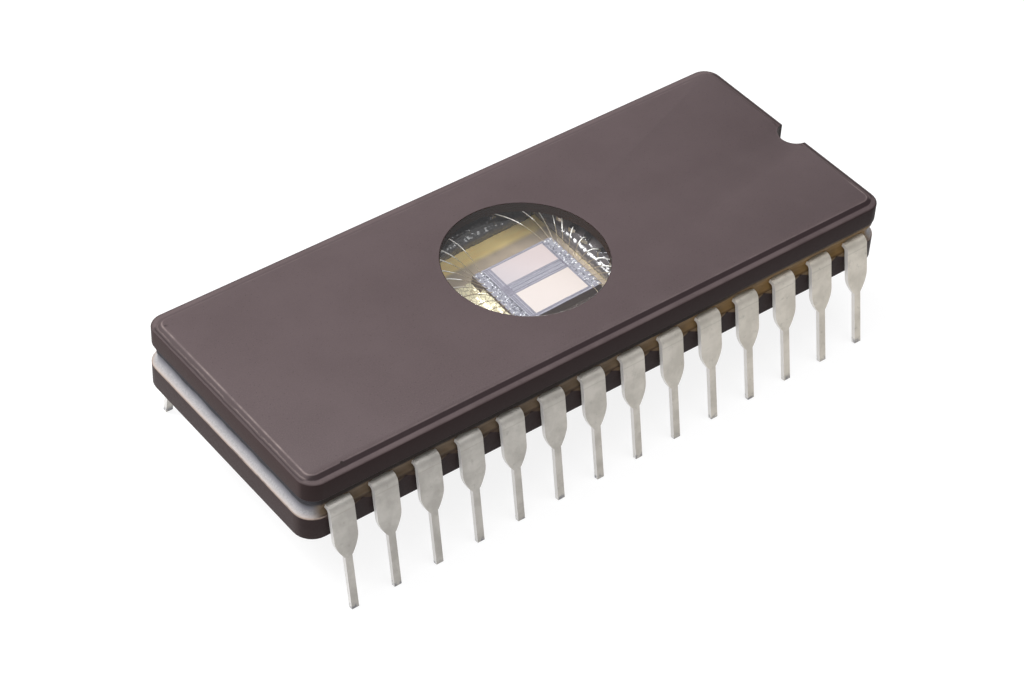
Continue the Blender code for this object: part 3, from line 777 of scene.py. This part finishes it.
# Inner form, as (share of the shelf's width out from the cavity, height above the base) in millimetres: from the
# lid down the cavity's wall to its floor, and back up behind the skin of glass
INNER_PROFILE = (
    (1.00, 1.13), (1.00, 0.95), (0.985, 0.78), (0.94, 0.64), (0.85, 0.54), (0.72, 0.47), (0.58, 0.43),
    (0.44, 0.41), (0.32, 0.39), (0.24, 0.36), (0.19, 0.30), (0.165, 0.22), (0.14, 0.155), (0.09, 0.115),
    (0.03, 0.08), (-0.03, 0.035), (-0.07, -0.03), (-0.09, -0.12), (-0.10, -0.24), (-0.10, -0.38),
    (-0.045, -0.38), (-0.045, 0.0),
)


def lead_cover(x):
    """1 over a lead, easing to 0 between leads."""
    offset = abs((x / LEAD_PITCH - 0.5) % 1.0 - 0.5) * LEAD_PITCH
    share = (LEAD_HALF_WIDTH + 0.24 * MM - offset) / (0.30 * MM)
    share = min(max(share, 0.0), 1.0)
    return share * share * (3 - 2 * share)


def wobble(point, size, seed):
    """Smooth noise between about -1 and 1, with features of a size in millimetres."""
    return noise.noise(Vector(point) / (size * MM) + Vector((seed, 0, 0)))


def outer_glass(base_point, lid_point, out, bottom, height):
    """Points from the base's edge up to the lid's: drawn in between leads, and creeping out over them."""
    side = out.y * out.y
    cover = lead_cover(base_point.x) * (abs(out.y) > 0.99)
    points = []
    for (side_in, side_z), (end_in, end_z) in zip(SIDE_PROFILE, END_PROFILE):
        inset = (side_in * side + end_in * (1 - side)) * MM
        rise = (side_z * side + end_z * (1 - side)) / SIDE_PROFILE[-1][1]
        z = bottom + height * rise
        edge = base_point.lerp(lid_point, rise)
        free = sin(pi * rise) ** 0.7 if 0 < rise < 1 else 0.0
        spot = (edge.x, edge.y, z)
        inset += free * (0.045 * wobble(spot, 1.1, 3.0) + 0.016 * wobble(spot, 0.3, 7.0)) * MM
        creep = cover * max(0.0, 1 - abs(z - LEAD_TOP) / (0.22 * MM))
        inset -= creep * 0.09 * MM
        flat = edge - out * max(inset, 0.0)
        points.append((flat.x, flat.y, z))
    return points


def inner_glass(rim_point, shelf_point, out, bottom, height):
    """Points down the cavity's beaded wall, with a foot that bulges over the floor's +Y and +X edges."""
    floor = INNER_PROFILE[-2][1]
    bulge = 0.22 * max(out.y, 0.0) ** 4 + 0.06 * max(out.x, 0.0) ** 4
    points = []
    for index, (share, rise) in enumerate(INNER_PROFILE):
        z = bottom + height * rise / INNER_PROFILE[0][1]
        flat = rim_point.lerp(shelf_point, share)
        spot = (flat.x, flat.y, z)
        foot = max(0.0, 1 - max(share, 0.0) / 0.5) * min(1.0, index / 8)
        flat = flat - out * foot * bulge * MM
        if 0 < index < len(INNER_PROFILE) - 2:
            free = min(1, (rise - floor) * 4)
            z += free * (0.04 * wobble(spot, 0.55, 11.0) + 0.035 * wobble(spot, 0.20, 17.0)) * MM
            swell = 0.6 * wobble(spot, 0.4, 23.0) + 0.5 * wobble(spot, 0.15, 29.0)
            flat = flat - out * 0.05 * MM * swell * (1 - share)
        points.append((flat.x, flat.y, z))
    return points


def make_seal(outer, inner):
    """One closed ring of glass: outside it flows round the leads, inside it beads along the cavity."""
    bottom = BASE_HIGH[2] + JOINT_GAP
    height = LID_LOW[2] - JOINT_GAP - bottom
    rim_x = GOLD_HIGH[0] + SHELF_SETBACK
    rim_y = GOLD_HIGH[1] + SHELF_SETBACK
    outlines = (
        (BASE_HIGH[0] - EDGE_CHAMFER, BASE_HIGH[1] - EDGE_CHAMFER, BASE_CORNER),
        (LID_HIGH[0] - EDGE_CHAMFER, LID_HIGH[1] - EDGE_CHAMFER, LID_CORNER),
        (rim_x, rim_y, CAVITY_CORNER),
        (rim_x + CAVITY_SHELF, rim_y + CAVITY_SHELF, CAVITY_CORNER),
    )
    bm = bmesh.new()
    rings = []
    for places in zip(*(rounded_loop(*outline, *GLASS_STEPS) for outline in outlines)):
        base_point, lid_point, rim_point, shelf_point = (point for point, _ in places)
        out = places[0][1]
        points = outer_glass(base_point, lid_point, out, bottom, height)
        points += inner_glass(rim_point, shelf_point, out, bottom, height)
        rings.append([bm.verts.new(point) for point in points])
    for i, ring in enumerate(rings):
        following = rings[(i + 1) % len(rings)]
        for j in range(len(ring)):
            k = (j + 1) % len(ring)
            face = bm.faces.new((ring[j], ring[k], following[k], following[j]))
            face.material_index = int(j > len(SIDE_PROFILE))
    piece = new_piece("fired_glass", bm, [outer, inner])
    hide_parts("sealing_glass")


def make_pane(glass, bonded):
    """The window's disc, with fire-polished edges and its side fused to the lid."""
    radius = PANE_HIGH[0]
    low, high = PANE_LOW[2], PANE_HIGH[2]
    profile = [(radius - PANE_CHAMFER, low), (radius, low + PANE_CHAMFER)]
    for step in range(PANE_POLISH_STEPS + 1):
        angle = pi / 2 * step / PANE_POLISH_STEPS
        profile.append((radius - PANE_POLISH * (1 - cos(angle)), high - PANE_POLISH * (1 - sin(angle))))
    turns = [2 * pi * i / PANE_SIDES for i in range(PANE_SIDES)]
    bm = bmesh.new()
    rings = [[bm.verts.new((r * cos(turn), r * sin(turn), z)) for turn in turns] for r, z in profile]
    for lower, upper in zip(rings, rings[1:]):
        for i in range(PANE_SIDES):
            j = (i + 1) % PANE_SIDES
            face = bm.faces.new((lower[i], lower[j], upper[j], upper[i]))
            face.material_index = int(lower is not rings[-2])
    bm.faces.new(reversed(rings[0]))
    bm.faces.new(rings[-1])
    piece = new_piece("window_pane", bm, [glass, bonded])
    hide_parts("uv_window")


def solder_height(x, y):
    """Height of the frozen solder over the gold at a place, in metres."""
    out_x = max(DIE_LOW[0] - x, x - DIE_HIGH[0], 0.0)
    out_y = max(DIE_LOW[1] - y, y - DIE_HIGH[1], 0.0)
    away = (out_x * out_x + out_y * out_y) ** 0.5
    spilled = x < DIE_LOW[0] and y < (1.15 + 0.12 * wobble((x, y, 0), 0.4, 2.0)) * MM
    widening = 0.55 + 0.12 * max(0.0, 1.15 - y / MM)
    reach = (widening if spilled else 0.12) * MM * (1 + 0.15 * wobble((x, y, 0), 0.5, 5.0))
    fade = max(0.0, 1 - away / reach)
    fold = abs(wobble((x, y * 0.7, 0), 0.30, 31.0)) + 0.5 * abs(wobble((x, y, 0), 0.14, 37.0))
    crease = 0.035 * MM * max(0.0, 1 - 2.6 * fold)
    climb = (0.36 if spilled else 0.06) * MM * max(0.0, 1 - away / ((0.42 if spilled else 0.12) * MM)) ** 1.4
    return fade ** 0.5 * (0.03 * MM + crease) + climb


def make_solder(finish):
    """Solder round the die: a small fillet on three sides and a wrinkled spill past the -X end."""
    low_x, low_y, floor_z = SOLDER_LOW
    high_x, high_y, _ = SOLDER_HIGH
    count_x = int((high_x - low_x) / SOLDER_GRID)
    count_y = int((high_y - low_y) / SOLDER_GRID)
    bm = bmesh.new()
    top = []
    bottom = []
    for i in range(count_x + 1):
        x = low_x + (high_x - low_x) * i / count_x
        top.append([])
        bottom.append([])
        for j in range(count_y + 1):
            y = low_y + (high_y - low_y) * j / count_y
            if DIE_LOW[0] < x < DIE_HIGH[0] and DIE_LOW[1] < y < DIE_HIGH[1]:
                lift = SOLDER_UNDER_DIE
            elif i in (0, count_x) or j in (0, count_y):
                lift = SOLDER_SKIN
            else:
                lift = max(solder_height(x, y), SOLDER_SKIN)
            top[i].append(bm.verts.new((x, y, floor_z + lift)))
            bottom[i].append(bm.verts.new((x, y, floor_z)))
    for grid, order in ((top, 1), (bottom, -1)):
        for i in range(count_x):
            for j in range(count_y):
                corners = (grid[i][j], grid[i + 1][j], grid[i + 1][j + 1], grid[i][j + 1])
                bm.faces.new(corners[::order])
    for i in range(count_x):
        for j in (0, count_y):
            bm.faces.new((top[i][j], top[i + 1][j], bottom[i + 1][j], bottom[i][j]))
    for j in range(count_y):
        for i in (0, count_x):
            bm.faces.new((top[i][j], top[i][j + 1], bottom[i][j + 1], bottom[i][j]))
    piece = new_piece("solder_spill", bm, [finish])
    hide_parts("die_attach")


def film(bm, left, right, front, back, layer, finish, thick=FILM):
    """A thin rectangle on the die's face, in die millimetres; higher layers lie over lower ones."""
    low = DIE_HIGH[2] + layer * FILM * MM
    center = Vector((DIE_X + (left + right) / 2 * MM, (front + back) / 2 * MM, low + thick * MM / 2))
    size = ((right - left) * MM, (back - front) * MM, thick * MM)
    made = bmesh.ops.create_cube(bm, size=1, matrix=Matrix.Translation(center) @ Matrix.Diagonal((*size, 1)))
    for face in {face for vert in made["verts"] for face in vert.link_faces}:
        face.material_index = finish


def frame_lines(bm, left, right, front, back, width, layer, finish):
    """Four lines round a rectangle."""
    film(bm, left - width, right + width, back, back + width, layer, finish)
    film(bm, left - width, right + width, front - width, front, layer, finish)
    film(bm, left - width, left, front, back, layer, finish)
    film(bm, right, right + width, front, back, layer, finish)


def draw_arrays(bm, draw):
    """Both cell arrays, each with a frame, three driver strips and a column of row ends towards -X."""
    for cells, (left, right, front, back) in zip((CELLS_BACK, CELLS_FRONT), ARRAYS):
        film(bm, left, right, front, back, 0, cells)
        frame_lines(bm, left - 0.03, right + 0.03, front - 0.02, back + 0.02, 0.022, 0, MID)
        for strip, tone in enumerate((LIGHT, MID, LIGHT)):
            x = left - 0.13 - 0.115 * strip
            film(bm, x - 0.045, x, front, back, 0, tone)
        for row in range(int((back - front) / ROW_PITCH)):
            y = front + ROW_PITCH * row
            film(bm, left - 0.50, left - 0.42, y, y + 0.028, 0, draw.choice((METAL, DARK, LIGHT)))


def draw_bus(bm, draw):
    """Bus lines between the arrays, with short taps over them."""
    low, high = ARRAYS[1][3], ARRAYS[0][2]
    left, right = ARRAYS[0][:2]
    for share, width, tone in BUS_LINES:
        y = low + (high - low) * share
        film(bm, left, right, y, y + width, 0, tone)
    for column in range(BUS_TAPS):
        x = left + (right - left) * (column + 0.3) / BUS_TAPS
        film(bm, x, x + 0.022, low + 0.25, low + 0.25 + draw.uniform(0.04, 0.11), 1, LIGHT)


def pad_places():
    """Middles of the bonding pads at both ends; each corner pad sits a step further in."""
    reach = DIE_HALF_X - PAD_INSET
    top = DIE_HALF_Y - PAD_INSET
    places = []
    for end in (1, -1):
        for order in range(END_PADS + 1):
            y = top if order >= END_PADS else top * (order + 0.5) / (END_PADS - 0.5)
            x = end * (reach - CORNER_PAD_STEP * (order >= END_PADS))
            places += [(x, y), (x, -y)]
    return places


def draw_logic(bm, draw):
    """Logic at both ends of the die: a plain strip, bonding pads, and small blocks clear of the pads."""
    for left, right, _ in LOGIC_STRIPS:
        film(bm, left, right, -DIE_HALF_Y + 0.10, DIE_HALF_Y - 0.10, 0, MID)
    pads = pad_places()
    half = PAD_SIZE / 2
    for x, y in pads:
        film(bm, x - half, x + half, y - half, y + half, 2, METAL)
    for left, right, count in LOGIC_STRIPS:
        for _ in range(count):
            x = draw.uniform(left, right - 0.05)
            y = draw.uniform(-DIE_HALF_Y + 0.12, DIE_HALF_Y - 0.16)
            wide, deep = draw.choice(BLOCK_SIZES)
            mid_x, mid_y = x + wide / 2, y + deep / 2
            if any(abs(mid_x - px) < PAD_CLEARANCE and abs(mid_y - py) < PAD_CLEARANCE for px, py in pads):
                continue
            tone = draw.choice((METAL, DARK, LIGHT, DARK, LIGHT))
            film(bm, x, x + wide, y, y + deep, 1, tone, thick=FILM * draw.uniform(0.6, 0.95))


def make_circuit(finishes):
    """Thin films on the die's face: a border line, cell arrays, bus lines, logic blocks and bonding pads."""
    draw = random.Random(CIRCUIT_SEED)
    bm = bmesh.new()
    border_x, border_y = DIE_HALF_X - BORDER_INSET, DIE_HALF_Y - BORDER_INSET
    frame_lines(bm, -border_x, border_x, -border_y, border_y, BORDER_WIDTH, 0, LIGHT)
    draw_arrays(bm, draw)
    draw_bus(bm, draw)
    draw_logic(bm, draw)
    new_piece("die_circuit", bm, finishes)


def add_floor(finish):
    bm = bmesh.new()
    bmesh.ops.create_grid(bm, x_segments=2, y_segments=2, size=FLOOR_HALF)
    mesh = bpy.data.meshes.new("floor")
    bm.to_mesh(mesh)
    bm.free()
    mesh.materials.append(finish)
    floor = bpy.data.objects.new("floor", mesh)
    floor.location.z = FLOOR_Z
    bpy.context.collection.objects.link(floor)


def add_panel(name, direction, distance, size, radiance):
    """A soft square lamp aimed at the chip, as bright as the stated radiance."""
    data = bpy.data.lights.new(name, "AREA")
    data.size = size
    data.energy = radiance * size * size * pi
    lamp = bpy.data.objects.new(name, data)
    toward = Vector(direction).normalized()
    lamp.location = toward * distance
    lamp.rotation_euler = toward.to_track_quat("Z", "Y").to_euler()
    bpy.context.collection.objects.link(lamp)


def add_world(low, high):
    """A studio that is dim on the -Y side and low down, and brighter behind and above."""
    world = bpy.data.worlds.new("studio")
    bpy.context.scene.world = world
    world.use_nodes = True
    studio = Nodes(world.node_tree)
    place = studio.node("ShaderNodeTexCoord").outputs["Generated"]
    bright_side = Vector((-0.25, 0.75, 0.6)).normalized()
    lean = studio.node("ShaderNodeVectorMath", {0: place, 1: bright_side}, operation="DOT_PRODUCT")
    inputs = dict(enumerate((lean.outputs["Value"], -0.7, 0.9, low, high)))
    ramp = studio.node("ShaderNodeMapRange", inputs, interpolation_type="SMOOTHSTEP")
    background = studio.tree.nodes["Background"]
    studio.feed(background.inputs["Strength"], ramp.outputs[0])
    studio.feed(background.inputs["Color"], (0.96, 0.97, 1.0))


def add_camera():
    data = bpy.data.cameras.new("camera")
    data.lens = CAMERA_LENS
    data.sensor_width = SENSOR_WIDTH
    data.clip_start = 0.005
    camera = bpy.data.objects.new("camera", data)
    camera.location = CAMERA_PLACE
    camera.rotation_euler = [radians(turn) for turn in CAMERA_TURN]
    bpy.context.collection.objects.link(camera)
    bpy.context.scene.camera = camera


ceramic = ceramic_finish("brown_ceramic")
tinned = lead_finish()
repaint("ceramic_base", ceramic)
repaint("ceramic_lid", ceramic)
repaint("cavity_gold", gold_finish())
repaint("memory_die", die_finish())
softener = edge_softener()
carry_ledge_round_notch()
round_edges("ceramic_lid", softener, LID_ROUND)
round_edges("ceramic_base", softener, BASE_ROUND)
for lead in LEADS:
    repaint(lead, tinned)
    round_edges(lead, softener, LEAD_ROUND, LEADS_ROUND_FROM_Y)
thicken_wires()

make_seal(seal_finish(), cavity_glass_finish())
make_pane(pane_finish(), fused_rim_finish())
make_solder(solder_finish())
# In the order of DARK, MID, LIGHT, CELLS_BACK, CELLS_FRONT and METAL
make_circuit([
    film_finish("die_dark", (0.045, 0.043, 0.065), (0.060, 0.058, 0.080), 0.2, 0.28),
    film_finish("die_mid", (0.30, 0.295, 0.345), (0.33, 0.325, 0.375), 0.3, 0.28),
    film_finish("die_light", (0.42, 0.41, 0.47), (0.48, 0.47, 0.52), 0.3, 0.25),
    film_finish("cells_back", (0.50, 0.47, 0.51), (0.66, 0.56, 0.555), 0.3, 0.28),
    film_finish("cells_front", (0.75, 0.665, 0.635), (0.70, 0.61, 0.57), 0.3, 0.28),
    film_finish("die_metal", (0.93, 0.95, 1.0), (0.96, 0.97, 1.0), 0.1, 0.22),
])

add_floor(floor_finish())
add_panel("key", (-0.35, 0.45, 0.82), 0.50, 0.22, 21.5)
add_panel("top", (0.10, -0.22, 0.97), 0.45, 0.25, 4.6)
add_panel("side", (-0.85, -0.35, 0.38), 0.50, 0.30, 3.6)
add_world(0.08, 0.60)
add_camera()
bpy.context.scene.view_settings.view_transform = "Standard"
